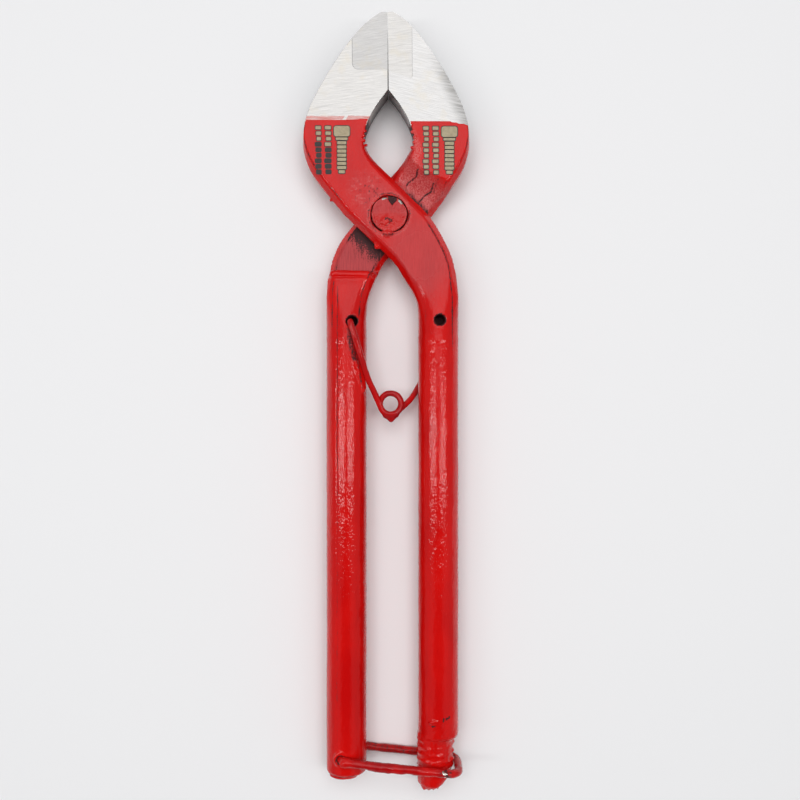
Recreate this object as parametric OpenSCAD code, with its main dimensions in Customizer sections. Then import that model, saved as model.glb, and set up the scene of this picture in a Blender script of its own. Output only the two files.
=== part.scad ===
// Bolt cutters: two half-lapped levers on a rivet, brazed blades, a wire spring and a wire bail.
// Origin: on the rivet's axis, in the plane of the flat rear faces. +Y to the jaws, +Z to the front.
// The front lever carries the left jaw and the right handle, and the rear lever the other two.

/* [Levers] */
// Diameter of the round bar that the handles are made of
bar_d = 16; // [15:0.1:16]
// Thickness of the jaws and of the flats around the rivet
plate_t = 12; // [11:0.5:13]
// Distance from the rivet to the tips of the jaws
jaw_reach = 79.5; // [76:0.5:84]
// Greatest distance of the left jaw's outer edge from the rivet, sideways
left_jaw_w = 34; // [32:0.5:36]
// Greatest distance of the right jaw's outer edge from the rivet, sideways
right_jaw_w = 32; // [31:0.5:35]
// Angle between the cutting line and the handles
jaw_turn = 0.45; // [0:0.05:1]
// Distance from the rivet to the end of the left handle
left_handle_reach = 223; // [219:1:230]
// Distance from the rivet to the end of the right handle
right_handle_reach = 228.5; // [226:0.5:236]

/* [Blades] */
// Length of the cutting edges
blade_l = 22.5; // [18:0.5:24]
// Width of the left blade
left_blade_w = 14; // [10:0.5:16]
// Width of the right blade
right_blade_w = 9.5; // [8:0.5:12]
// Relief angle behind the cutting edge
blade_relief = 20; // [12:1:25]

/* [Rivet] */
// Diameter of the rivet's shank
rivet_d = 10; // [8:0.5:11]
// Diameter of the rivet's heads
rivet_head_d = 13.8; // [12.5:0.1:15]
// Height of the front head above the front lever
rivet_proud = 0.9; // [0.3:0.1:1.5]

/* [Spring and bail] */
// Diameter of the spring wire
spring_wire_d = 2.4; // [2:0.1:2.6]
// Mean radius of the spring's coil
coil_r = 4.2; // [3.8:0.1:4.8]
// Diameter of the bail's wire
bail_wire_d = 3.2; // [2.8:0.1:3.4]
// Distance from the bail's pin to its cross leg
bail_l = 46.7; // [46.3:0.1:48]

/* [Hidden] */

// Heights, from the rear faces, and how far a cutting solid stands past what it cuts
mid_z = plate_t / 2;
lap_gap = 0.1;
past = 1;

// Handles: bar axes, and the straight stretch below the shoulders
bar_r = bar_d / 2;
left_bar_x = -17.1;
right_bar_x = 19.5;
bar_top_y = -30;
bar_full_y = -42;
bar_tip_r = mid_z - 0.1;
flat_end = [4.5, -45];

// Half lap: a straight shoulder on the handle's side, and ramps on the jaw's side
shoulder_y = -23.5;
lap_r = 12.6;
ramp_w = 7;
lap_closed_turn = 44.3;
lap_open_turn = 65;
reach_all = 60;

// Right handle's end: a thinner neck with rings, cut off at a slant
neck_y = -207;
neck_r = 7;
neck_x = 18.2;
ring_count = 4;
ring_pitch = 2.95;
ring_first_y = -209;
ring_depth = 0.35;
ring_w = 1.2;
slant_y = -220.5;
end_chamfer = 2.5;

// Holes
spring_hole_r = 2;
left_hole = [-14.6, -42.1];
right_hole = [19.9, -41.6];
bail_pin = [-19, -213.8];
bail_hole_clearance = 0.08;

// Rivet fit
rivet_clearance = 0.05;
head_gap = 0.4;
head_depth = 1.8;
rear_head_sunk = 0.2;
stake_slot = [2.2, 1.6];

// Blades
blade_gap = 0.06;
throat_gap = 0.35;
braze_gap = 0.05;
left_corner_r = 2.5;
right_corner_r = 0.8;
right_blade_drop = 3.5;

// Bends in the wires
ball_growth = 1.16;

// Spring: the hooks sit in the handles' holes, and the legs bow round the handles
spring_r = spring_wire_d / 2;
coil_c = [0.5, -74.5];
coil_half_step = 1.4;
left_hook = [-15.2, -42.3];
right_hook = [20.3, -41.6];
hook_depth = 6;
front_leg = [
    [left_hook[0], left_hook[1], mid_z + 10],
    [-10.7, -57.3, mid_z + 8]
];
rear_leg = [
    [right_hook[0], right_hook[1], mid_z - 9.8],
    [12.6, -66.9, mid_z - 8.6]
];
front_leg_turn = 208;
rear_leg_turn = -40;
coil_overlap_turn = 90;

// Bail
bail_r = bail_wire_d / 2;
bail_droop = 6.2;
bail_lift = bar_r + bail_r + 0.5;

// Labels
label_t = 0.12;
left_label_c = [-22.3, 24.9];
right_label_c = [20, 24.7];
label_size = [14.5, 20.5];

// Points on a smooth curve through p: Catmull-Rom, with n steps to each span
function knot(p, i) = p[max(0, min(len(p) - 1, i))];
function blend(a, b, c, d, t) =
    0.5 * (2 * b + (c - a) * t + (2 * a - 5 * b + 4 * c - d) * t * t
        + (3 * b - a - 3 * c + d) * t * t * t);
function spline(p, n = 6) = concat(
    [for (i = [0:len(p) - 2], k = [0:n - 1])
        blend(knot(p, i - 1), knot(p, i), knot(p, i + 1), knot(p, i + 2), k / n)],
    [p[len(p) - 1]]
);
function turned(p, a) = [
    for (q = p) [q[0] * cos(a) - q[1] * sin(a), q[0] * sin(a) + q[1] * cos(a)]
];
function reverse(p) = [for (i = [len(p) - 1:-1:0]) p[i]];

// Outer edge of a jaw from its tip down to the lap, as shares of its width and reach
JAW_EDGE = [
    [0.02, 1],
    [0.1, 0.994],
    [0.3, 0.927],
    [0.54, 0.802],
    [0.77, 0.648],
    [0.93, 0.51],
    [1, 0.37],
    [0.94, 0.25],
    [0.8, 0.155],
    [0.53, 0.005]
];
// Inner edge of a jaw: the throat behind the cutting edges, down to the lap
THROAT_EDGE = [
    [4.3, 43.6],
    [8, 37],
    [9.6, 29.6],
    [6.8, 23],
    [-1.1, 15]
];
throat_top = [throat_gap / 2, 49];

// Each lever is drawn with its jaw on the left and its handle on the right
FRONT_UNDER = [[-5.8, -11.3], [1.5, -18.4], [6.6, -25.8], [10.5, -32.7], [11.5, -38.5]];
FRONT_OVER = [[8.2, 7.6], [16, -0.3], [22, -10.1], [25.6, -19], [27.2, -30]];
REAR_UNDER = [[-5.8, -11.3], [1.4, -17], [5.9, -25.8], [8.4, -32.7], [9.1, -38.5]];
REAR_OVER = [[7.2, 7.2], [14.6, -2.6], [20.1, -10.1], [23.6, -19], [24.8, -30]];

function lever_edge(jaw_w, bar_x, under, over, turn) = concat(
    turned([for (q = spline(JAW_EDGE)) [-q[0] * jaw_w, q[1] * jaw_reach]], turn),
    spline(concat(under, [[bar_x - flat_end[0], flat_end[1]]])),
    reverse(spline(concat(over, [[bar_x + flat_end[0], flat_end[1]]]))),
    turned([for (q = reverse(spline(THROAT_EDGE))) [-q[0], q[1]]], turn),
    turned([[-throat_top[0], throat_top[1]]], turn),
    turned([[-blade_gap / 2, jaw_reach]], turn)
);

// A straight round bar along Y, from its top down to its end
module bar(x, top, end, r) {
    translate([x, end, mid_z])
        rotate([-90, 0, 0])
            cylinder(h = top - end, r = r, $fn = 96);
}

// A bar's upper end, which thins down to the thickness of the flats
module bar_taper(x) {
    translate([x, bar_full_y, mid_z])
        rotate([-90, 0, 0])
            cylinder(h = bar_top_y - bar_full_y, r1 = bar_r, r2 = bar_tip_r, $fn = 96);
}

// A bar's lower end, with its rim broken
module bar_end(x, y, r) {
    translate([x, y, mid_z])
        rotate([-90, 0, 0])
            cylinder(h = end_chamfer, r1 = r - end_chamfer, r2 = r, $fn = 96);
}

// What is cut from above the lap plane: a straight shoulder ends it on the handle's side, and
// ramps on the jaw's side, which stand clear of the other lever both closed and open
module lap_cut() {
    intersection() {
        union() {
            lap_ramp(lap_closed_turn);
            lap_ramp(lap_open_turn);
        }
        translate([-reach_all, shoulder_y, 0])
            cube([2 * reach_all, 2 * reach_all, 4 * plate_t]);
    }
}

// One ramp, square to a direction in plan
module lap_ramp(turn) {
    rotate([0, 0, turn])
        translate([lap_r, reach_all, mid_z - lap_gap / 2])
            rotate([90, 0, 0])
                linear_extrude(height = 2 * reach_all)
                    polygon([
                        [-reach_all, 0],
                        [0, 0],
                        [2 * ramp_w, 2 * mid_z],
                        [-reach_all, 2 * mid_z]
                    ]);
}

// A lever's jaw and flats, drawn with the jaw on the left, standing on the rear faces' plane
module lever_plate(jaw_w, bar_x, under, over, turn) {
    linear_extrude(height = plate_t)
        polygon(lever_edge(jaw_w, bar_x, under, over, turn));
}

// The same shape with its front and rear faces swapped
module flipped() {
    translate([0, 0, plate_t])
        mirror([0, 0, 1])
            children();
}

// A round hole right through, along Z
module hole(at, r) {
    translate([at[0], at[1], -plate_t])
        cylinder(h = 3 * plate_t, r = r, $fn = 48);
}

// Outline of a blade or of its pocket: its lower edge may slope, and its outer corner is round
module blade_shape(w, drop, corner_r, grow) {
    low = jaw_reach - blade_l - grow;
    centre = [-w - grow + corner_r, low - drop + corner_r];
    polygon(concat(
        [[past, jaw_reach + past], [past, low]],
        [for (a = [270:-15:180]) centre + corner_r * [cos(a), sin(a)]],
        [[-w - grow, jaw_reach + past]]
    ));
}

// The pocket or the blade within the jaw's own outline, standing through its thickness
module blade_block(jaw_w, bar_x, under, over, turn, w, drop, corner_r, grow) {
    intersection() {
        lever_plate(jaw_w, bar_x, under, over, turn);
        rotate([0, 0, turn])
            translate([0, 0, -past])
                linear_extrude(height = plate_t + 2 * past)
                    blade_shape(w, drop, corner_r, grow);
    }
}

// Relief behind both cutting edges: a wedge with its edge on the front face
module edge_relief() {
    half = plate_t * tan(blade_relief);
    translate([0, jaw_reach + past, 0])
        rotate([90, 0, 0])
            linear_extrude(height = blade_l + 2 * past)
                polygon([[0, plate_t], [-half, 0], [-half, -past], [half, -past], [half, 0]]);
}

// Left jaw and right handle: it lies over the other lever, so its lap is cut from below
module front_lever() {
    color("firebrick")
        difference() {
            union() {
                difference() {
                    lever_plate(left_jaw_w, right_bar_x, FRONT_UNDER, FRONT_OVER, jaw_turn);
                    flipped()
                        mirror([1, 0, 0])
                            lap_cut();
                }
                bar_taper(right_bar_x);
                bar(right_bar_x, bar_full_y, neck_y, bar_r);
                bar(neck_x, neck_y, -right_handle_reach + end_chamfer, neck_r);
                bar_end(neck_x, -right_handle_reach, neck_r);
            }
            blade_block(left_jaw_w, right_bar_x, FRONT_UNDER, FRONT_OVER, jaw_turn,
                left_blade_w, 0, left_corner_r, braze_gap);
            hole([0, 0], rivet_d / 2 + rivet_clearance);
            translate([0, 0, plate_t - head_depth])
                cylinder(h = plate_t, r = rivet_head_d / 2 + head_gap, $fn = 96);
            hole(right_hole, spring_hole_r);
            neck_rings();
            slant_cut();
        }
}

// Shallow rings turned round the right handle's neck
module neck_rings() {
    for (i = [0:ring_count - 1])
        translate([neck_x, ring_first_y - i * ring_pitch, mid_z])
            rotate([90, 0, 0])
                difference() {
                    cylinder(h = ring_w, r = neck_r + past, $fn = 96);
                    translate([0, 0, -past])
                        cylinder(h = ring_w + 2 * past, r = neck_r - ring_depth, $fn = 96);
                }
}

// The slant on the outer side of the right handle's end
module slant_cut() {
    translate([neck_x + neck_r, slant_y, -plate_t])
        rotate([0, 0, -45])
            translate([0, -reach_all, 0])
                cube([reach_all, 2 * reach_all, 3 * plate_t]);
}

// Right jaw and left handle: it lies under the other lever, so its lap is cut from above
module rear_lever() {
    color("red")
        difference() {
            union() {
                difference() {
                    mirror([1, 0, 0])
                        lever_plate(right_jaw_w, -left_bar_x, REAR_UNDER, REAR_OVER, -jaw_turn);
                    lap_cut();
                }
                bar_taper(left_bar_x);
                bar(left_bar_x, bar_full_y, -left_handle_reach + end_chamfer, bar_r);
                bar_end(left_bar_x, -left_handle_reach, bar_r);
            }
            mirror([1, 0, 0])
                blade_block(right_jaw_w, -left_bar_x, REAR_UNDER, REAR_OVER, -jaw_turn,
                    right_blade_w, right_blade_drop, right_corner_r, braze_gap);
            hole([0, 0], rivet_d / 2 + rivet_clearance);
            translate([0, 0, -plate_t])
                cylinder(h = plate_t + head_depth, r = rivet_head_d / 2, $fn = 96);
            hole(left_hole, spring_hole_r);
            hole(bail_pin, bail_r + bail_hole_clearance);
        }
}

// The blades are brazed into pockets in the jaws
module front_blade() {
    color("silver")
        difference() {
            blade_block(left_jaw_w, right_bar_x, FRONT_UNDER, FRONT_OVER, jaw_turn,
                left_blade_w, 0, left_corner_r, 0);
            rotate([0, 0, jaw_turn])
                edge_relief();
        }
}

module rear_blade() {
    color("gainsboro")
        difference() {
            mirror([1, 0, 0])
                blade_block(right_jaw_w, -left_bar_x, REAR_UNDER, REAR_OVER, -jaw_turn,
                    right_blade_w, right_blade_drop, right_corner_r, 0);
            rotate([0, 0, jaw_turn])
                edge_relief();
        }
}

// Shank and both peened heads, with a stake slot in the front head
module pivot_rivet() {
    head_z = plate_t - head_depth + lap_gap / 2;
    color("indianred")
        difference() {
            union() {
                translate([0, 0, rear_head_sunk])
                    cylinder(h = plate_t - rear_head_sunk, r = rivet_d / 2, $fn = 96);
                translate([0, 0, rear_head_sunk])
                    cylinder(
                        h = head_depth - rear_head_sunk - lap_gap / 2,
                        r = rivet_head_d / 2 - rivet_clearance,
                        $fn = 96
                    );
                translate([0, 0, head_z])
                    cylinder(h = plate_t + rivet_proud - head_z, r = rivet_head_d / 2, $fn = 96);
            }
            translate([-stake_slot[0] / 2, rivet_head_d / 2 - stake_slot[1], plate_t])
                cube([stake_slot[0], 2 * stake_slot[1], plate_t]);
        }
}

// One straight piece of round wire
module rod(a, b, r) {
    d = b - a;
    plan = norm([d[0], d[1]]);
    translate(a)
        rotate([0, atan2(plan, d[2]), atan2(d[1], d[0])])
            cylinder(h = norm(d), r = r, $fn = 48);
}

// Wire through the points p, with a slightly thicker ball at each bend and end
module wire(p, r) {
    for (i = [0:len(p) - 2])
        rod(p[i], p[i + 1], r);
    for (i = [0:len(p) - 1])
        translate(p[i])
            rotate([0, 0, heading(p[max(0, i - 1)], p[max(1, i)]) + 90])
                sphere(r = r * ball_growth, $fn = 48);
}
// Direction in plan from a to b
function heading(a, b) = atan2(b[1] - a[1], b[0] - a[0]);

// Part of the coil: from one angle, anticlockwise through a sweep, at height z
module coil_arc(z, from, sweep) {
    translate([coil_c[0], coil_c[1], z])
        rotate([0, 0, from])
            rotate_extrude(angle = sweep, $fn = 96)
                translate([coil_r, 0])
                    circle(r = spring_r, $fn = 48);
}

// A point on the coil's centre line
function on_coil(turn, z) = [
    coil_c[0] + coil_r * cos(turn),
    coil_c[1] + coil_r * sin(turn),
    z
];

// The left handle's half of the spring: its hook, its leg and the front of the coil
module spring_front_arm() {
    z = mid_z + coil_half_step;
    hook_end = [left_hook[0], left_hook[1], front_leg[0][2] - hook_depth];
    color("crimson") {
        wire(concat([hook_end], front_leg, [on_coil(front_leg_turn, z)]), spring_r);
        coil_arc(z, front_leg_turn, 360 - front_leg_turn + coil_overlap_turn);
    }
}

// The right handle's half of the spring: its hook, its leg and the rear of the coil
module spring_rear_arm() {
    z = mid_z - coil_half_step;
    hook_end = [right_hook[0], right_hook[1], rear_leg[0][2] + hook_depth];
    color("darkred") {
        wire(concat([hook_end], rear_leg, [on_coil(rear_leg_turn, z)]), spring_r);
        coil_arc(z, coil_overlap_turn, 360 + rear_leg_turn - coil_overlap_turn);
    }
}

// A closed loop of wire: its pin through the left handle, its cross leg outside the right one
module bail() {
    far = [bail_l * cos(bail_droop), -bail_l * sin(bail_droop)];
    pin_top = [bail_pin[0], bail_pin[1], mid_z + bail_lift];
    pin_low = [bail_pin[0], bail_pin[1], mid_z - bail_lift];
    out_top = [pin_top[0] + far[0], pin_top[1] + far[1], pin_top[2]];
    out_low = [pin_low[0] + far[0], pin_low[1] + far[1], pin_low[2]];
    color("orangered") {
        wire([pin_low, pin_top, out_top, out_low], bail_r);
        rod(out_low, pin_low, bail_r);
    }
}

// A printed label on the front face of a jaw
module label(centre) {
    translate([centre[0] - label_size[0] / 2, centre[1] - label_size[1] / 2, plate_t])
        cube([label_size[0], label_size[1], label_t]);
}

module front_label() {
    color("darkkhaki")
        label(left_label_c);
}

module rear_label() {
    color("tan")
        label(right_label_c);
}

front_lever();
rear_lever();
front_blade();
rear_blade();
pivot_rivet();
spring_front_arm();
spring_rear_arm();
bail();
front_label();
rear_label();
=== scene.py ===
"""Bolt cutters: dip-painted steel levers with bare jaws, brazed blades, a spring and a bail."""

import math

import bmesh
import bpy
import numpy as np
import openvdb
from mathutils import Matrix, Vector


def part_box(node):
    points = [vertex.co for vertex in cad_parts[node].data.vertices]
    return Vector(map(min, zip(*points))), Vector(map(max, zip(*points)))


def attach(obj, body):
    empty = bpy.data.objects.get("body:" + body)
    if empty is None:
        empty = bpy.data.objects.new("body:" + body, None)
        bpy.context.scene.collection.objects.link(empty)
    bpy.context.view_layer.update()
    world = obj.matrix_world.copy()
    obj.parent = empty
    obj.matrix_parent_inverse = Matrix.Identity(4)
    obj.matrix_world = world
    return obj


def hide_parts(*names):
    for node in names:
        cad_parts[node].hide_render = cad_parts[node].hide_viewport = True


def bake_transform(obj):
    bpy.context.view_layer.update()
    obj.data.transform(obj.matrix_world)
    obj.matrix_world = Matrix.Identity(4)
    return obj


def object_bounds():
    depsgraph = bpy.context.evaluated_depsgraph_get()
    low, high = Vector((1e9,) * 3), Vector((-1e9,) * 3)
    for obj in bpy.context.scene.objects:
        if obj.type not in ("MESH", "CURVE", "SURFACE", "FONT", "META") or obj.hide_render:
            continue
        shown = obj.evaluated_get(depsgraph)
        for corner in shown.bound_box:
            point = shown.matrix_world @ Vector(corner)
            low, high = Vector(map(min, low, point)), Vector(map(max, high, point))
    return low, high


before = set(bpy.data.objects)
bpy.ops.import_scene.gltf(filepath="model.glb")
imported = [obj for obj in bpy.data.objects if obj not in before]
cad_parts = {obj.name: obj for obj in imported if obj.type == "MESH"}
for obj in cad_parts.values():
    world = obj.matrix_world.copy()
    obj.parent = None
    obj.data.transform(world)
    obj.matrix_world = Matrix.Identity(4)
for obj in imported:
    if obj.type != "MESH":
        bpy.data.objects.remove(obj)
cad_low, cad_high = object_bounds()

# Lengths are in millimetres, in the part's own frame, until a mesh is made
MM = 0.001


def corners(node):
    """The lowest and highest corners of a CAD node, in millimetres."""
    low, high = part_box(node)
    return np.array(low) / MM, np.array(high) / MM


# ---------------------------------------------------------------- dimensions

# How far the round handles stand above the flats
BAR_PROUD = 2.0

PLATE_TOP = corners("front_lever")[1][2] - BAR_PROUD
MID_Z = PLATE_TOP / 2
JAW_REACH = corners("front_blade")[1][1]
BAR_R = (corners("rear_lever")[1][2] - corners("rear_lever")[0][2]) / 2
LEFT_END = corners("rear_lever")[0][1]
RIGHT_END = corners("front_lever")[0][1]
RIVET_TOP = corners("pivot_rivet")[1][2]
RIVET_R = corners("pivot_rivet")[1][0]

LEFT_BAR_X = -17.1
RIGHT_BAR_X = 19.5
# Where the round bars take over from the flats, and how far the two overlap
BAR_START_Y = -50
BAR_OVERLAP = 2
# Thickness of the paint on the flats
PAINT = 0.05

# Holes: one in each handle for the spring, and the bail's
LEFT_HOLE = (-14.6, -42.1)
RIGHT_HOLE = (19.9, -41.6)
BAIL_PIN = (-19, -213.8)

# The rivet: its shank, the hole round it and the seat of its front head
SHANK_R = 5
SHANK_HOLE_R = 5.2
HEAD_SEAT_Z = 10.0

# The blades' pockets, each with its width, the drop of its lower edge and its corner's radius
BLADE_L = 22.5
BRAZE_GAP = 0.05
LEFT_POCKET = (14, 0, 2.5)
RIGHT_POCKET = (9.5, 3.5, 0.8)

# Outer edge of a jaw from its tip down to the lap, in shares of the jaw's width and reach
JAW_EDGE = [
    (0.02, 1), (0.1, 0.994), (0.3, 0.927), (0.54, 0.802), (0.77, 0.648),
    (0.93, 0.51), (1, 0.37), (0.94, 0.25), (0.8, 0.155), (0.53, 0.005),
]
# Edge of the throat from its upper corner down to the crossing
THROAT_EDGE = [(4.3, 43.6), (8, 37), (9.6, 29.6), (6.8, 23), (-1.1, 15)]
THROAT_TOP = (0.175, 49)
# How far the closed jaws lean from the centre line
JAW_TURN = math.radians(0.45)

# Each lever is drawn with its jaw on the left and its handle on the right; side = -1 mirrors it
FRONT = {
    "side": 1,
    "jaw_w": 34,
    "bar_x": RIGHT_BAR_X,
    "turn": JAW_TURN,
    "under": [(-5.8, -11.3), (1.5, -18.4), (6.6, -25.8), (10.5, -32.7), (11.5, -38.5)],
    "over": [(8.2, 7.6), (16, -0.3), (22, -10.1), (25.6, -19), (27.2, -30)],
}
REAR = {
    "side": -1,
    "jaw_w": 32,
    "bar_x": -LEFT_BAR_X,
    "turn": -JAW_TURN,
    "under": [(-5.8, -11.3), (1.4, -17), (5.9, -25.8), (8.4, -32.7), (9.1, -38.5)],
    "over": [(7.2, 7.2), (14.6, -2.6), (20.1, -10.1), (23.6, -19), (24.8, -30)],
}


# ---------------------------------------------------------------- outlines


def spline(points, steps=8):
    """A Catmull-Rom curve through the points."""
    p = np.array(points, float)
    padded = np.vstack([p[:1], p, p[-1:]])
    out = []
    for i in range(len(p) - 1):
        a, b, c, d = padded[i : i + 4]
        for k in range(steps):
            t = k / steps
            curve = 2 * b + (c - a) * t + (2 * a - 5 * b + 4 * c - d) * t**2
            out.append(0.5 * (curve + (3 * b - a - 3 * c + d) * t**3))
    return np.array(out + [p[-1]])


def turned(points, angle):
    """The points turned about the origin by an angle in radians."""
    c, s = math.cos(angle), math.sin(angle)
    return np.array([(x * c - y * s, x * s + y * c) for x, y in points])


def lever_outline(lever):
    """A lever in plan: its jaw, its flats and the top of its handle."""
    x = lever["bar_x"]
    jaw = [(-a * lever["jaw_w"], b * JAW_REACH) for a, b in spline(JAW_EDGE)]
    under = spline(lever["under"] + [(x - BAR_R, -46), (x - BAR_R, -60)])
    over = spline(lever["over"] + [(x + BAR_R, -40), (x + BAR_R, -60)])
    throat = [(-a, b) for a, b in spline(THROAT_EDGE)[::-1]]
    tip = [(-THROAT_TOP[0], THROAT_TOP[1]), (-0.03, JAW_REACH)]
    edges = [turned(jaw, lever["turn"]), under, over[::-1], turned(throat + tip, lever["turn"])]
    return np.vstack(edges) * (lever["side"], 1)


# ---------------------------------------------------------------- objects


def placed(name, data):
    """A new object with this data, linked to the scene."""
    obj = bpy.data.objects.new(name, data)
    bpy.context.scene.collection.objects.link(obj)
    return obj


def built(name, made):
    """A bmesh as a new object."""
    data = bpy.data.meshes.new(name)
    made.to_mesh(data)
    made.free()
    return placed(name, data)


# ---------------------------------------------------------------- distance fields


def ramp(value, low, high):
    """0 up to low, 1 from high on, smooth between; low may be above high."""
    t = np.clip((value - low) / (high - low), 0, 1)
    return t * t * (3 - 2 * t)


def join(a, b, soft):
    """Union of two distances, with a fillet."""
    h = np.maximum(soft - np.abs(a - b), 0) / soft
    return np.minimum(a, b) - h * h * soft / 4


def cut(a, b, soft):
    """The first distance without the second, with its rim rounded."""
    return -join(-a, b, soft)


def rounded(across, along, r):
    """The solid within both distances, with the edge between them rounded."""
    a, b = across + r, along + r
    inner = np.minimum(np.maximum(a, b), 0)
    return inner + np.hypot(np.maximum(a, 0), np.maximum(b, 0)) - r


LATTICE_SIZE = 32
LATTICE = np.random.default_rng(11).random((LATTICE_SIZE,) * 3) * 2 - 1


def noise(p, size, shift=0.0):
    """Smooth noise from -1 to 1, its cells size across; size may be one number or three."""
    q = p / np.array(size, float) + shift
    i = np.floor(q).astype(int)
    t = q - i
    t = t * t * (3 - 2 * t)
    total = 0
    for dx, dy, dz in np.ndindex(2, 2, 2):
        k = (i + (dx, dy, dz)) % LATTICE_SIZE
        w = np.abs(1 - dx - t[:, 0]) * np.abs(1 - dy - t[:, 1]) * np.abs(1 - dz - t[:, 2])
        total = total + w * LATTICE[k[:, 0], k[:, 1], k[:, 2]]
    return total


FAR_OUTSIDE = 9.0


class Volume:
    """Distances to a surface on a regular grid: negative inside, positive outside."""

    def __init__(self, low, high, voxel):
        self.low, self.voxel = np.array(low, float), voxel
        count = np.ceil((np.array(high, float) - self.low) / voxel).astype(int) + 1
        self.axes = [self.low[i] + voxel * np.arange(count[i]) for i in range(3)]
        self.d = np.full(count, FAR_OUTSIDE, np.float32)
        self.x, self.y, self.z = self.grid([slice(None)] * 3)

    def grid(self, where):
        """The x, y and z of a block of cells, ready to broadcast."""
        return np.meshgrid(
            *[axis[s] for axis, s in zip(self.axes, where)], indexing="ij", sparse=True
        )

    def near(self, low, high):
        """The cells between two corners: their slices, and their x, y and z."""
        where = tuple(
            slice(*np.clip(np.searchsorted(axis, (a, b)), 0, len(axis)))
            for axis, a, b in zip(self.axes, low, high)
        )
        return where, self.grid(where)

    def blob(self, centre, radii, soft=0.6):
        """Adds an ellipsoid."""
        centre, radii = np.array(centre, float), np.array(radii, float)
        where, (x, y, z) = self.near(centre - radii - 2, centre + radii + 2)
        k = np.sqrt(
            ((x - centre[0]) / radii[0]) ** 2
            + ((y - centre[1]) / radii[1]) ** 2
            + ((z - centre[2]) / radii[2]) ** 2
        )
        self.d[where] = join(self.d[where], (k - 1) * radii.min(), soft)

    def bead(self, a, b, r, soft=0.6):
        """Adds a straight bead of round section, from a to b."""
        a, b = np.array(a, float), np.array(b, float)
        where, (x, y, z) = self.near(np.minimum(a, b) - r - 2, np.maximum(a, b) + r + 2)
        along = b - a
        t = (x - a[0]) * along[0] + (y - a[1]) * along[1] + (z - a[2]) * along[2]
        t = np.clip(t / (along @ along), 0, 1)
        away = np.sqrt(
            (x - a[0] - t * along[0]) ** 2
            + (y - a[1] - t * along[1]) ** 2
            + (z - a[2] - t * along[2]) ** 2
        )
        self.d[where] = join(self.d[where], away - r, soft)

    def wire(self, route, r):
        """Adds a round wire along a route."""
        for a, b in zip(route[:-1], route[1:]):
            self.bead(a, b, r, 0.02)

    def hole(self, x, y, r, soft=0.5):
        """Takes away a round hole along Z, right through."""
        where, (gx, gy, _) = self.near((x - r - 2, y - r - 2, -99), (x + r + 2, y + r + 2, 99))
        self.d[where] = cut(self.d[where], np.hypot(gx - x, gy - y) - r, soft)

    def swell(self, height):
        """Moves the surface outwards by height(points), where the points lie near it."""
        close = np.nonzero(np.abs(self.d) < 2.5 * self.voxel + 0.6)
        points = np.stack([axis[i] for axis, i in zip(self.axes, close)], 1)
        self.d[close] -= height(points)

    def mesh(self, name):
        """The surface as an object, in metres."""
        reach = 3 * self.voxel
        grid = openvdb.FloatGrid(reach)
        grid.copyFromArray(np.clip(self.d, -reach, reach).astype(np.float32))
        points, quads = grid.convertToQuads(0.0)
        points = (self.low + points * self.voxel) * MM
        data = bpy.data.meshes.new(name)
        data.from_pydata(points.tolist(), [], quads[:, ::-1].tolist())
        data.polygons.foreach_set("use_smooth", np.ones(len(quads), bool))
        data.validate()
        return placed(name, data)


def outline_distance(volume, outline):
    """Distance in plan to a closed outline, negative inside, as a layer of the volume."""
    x, y = volume.x[:, :, 0], volume.y[:, :, 0]
    best = np.full((x.shape[0], y.shape[1]), 1e9)
    inside = np.zeros(best.shape, bool)
    for (ax, ay), (bx, by) in zip(outline, np.roll(outline, -1, 0)):
        ex, ey = bx - ax, by - ay
        t = np.clip(((x - ax) * ex + (y - ay) * ey) / max(ex * ex + ey * ey, 1e-12), 0, 1)
        best = np.minimum(best, (x - ax - t * ex) ** 2 + (y - ay - t * ey) ** 2)
        if ay != by:
            crosses = (ay > y) != (by > y)
            inside ^= crosses & (x < (y - ay) / ey * ex + ax)
    return np.where(inside, -1, 1)[:, :, None] * np.sqrt(best)[:, :, None]


def points_of(obj):
    """An object's vertices, in millimetres."""
    co = np.empty(len(obj.data.vertices) * 3, np.float32)
    obj.data.vertices.foreach_get("co", co)
    return co.reshape(-1, 3).astype(float) / MM


def paint_mask(obj, name, values):
    """Stores one number from 0 to 1 at each vertex, for the material to read."""
    layer = obj.data.attributes.new(name, "FLOAT", "POINT")
    layer.data.foreach_set("value", np.clip(values, 0, 1).astype(np.float32))


def route_distance(p, route):
    """Distance in plan from points to a chain of straight stretches."""
    best = np.full(len(p), 1e9)
    for a, b in zip(np.array(route[:-1], float), np.array(route[1:], float)):
        e = b - a
        t = np.clip(((p[:, :2] - a) @ e) / (e @ e), 0, 1)
        best = np.minimum(best, np.linalg.norm(p[:, :2] - a - t[:, None] * e, axis=1))
    return best


# ---------------------------------------------------------------- material helpers


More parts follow.
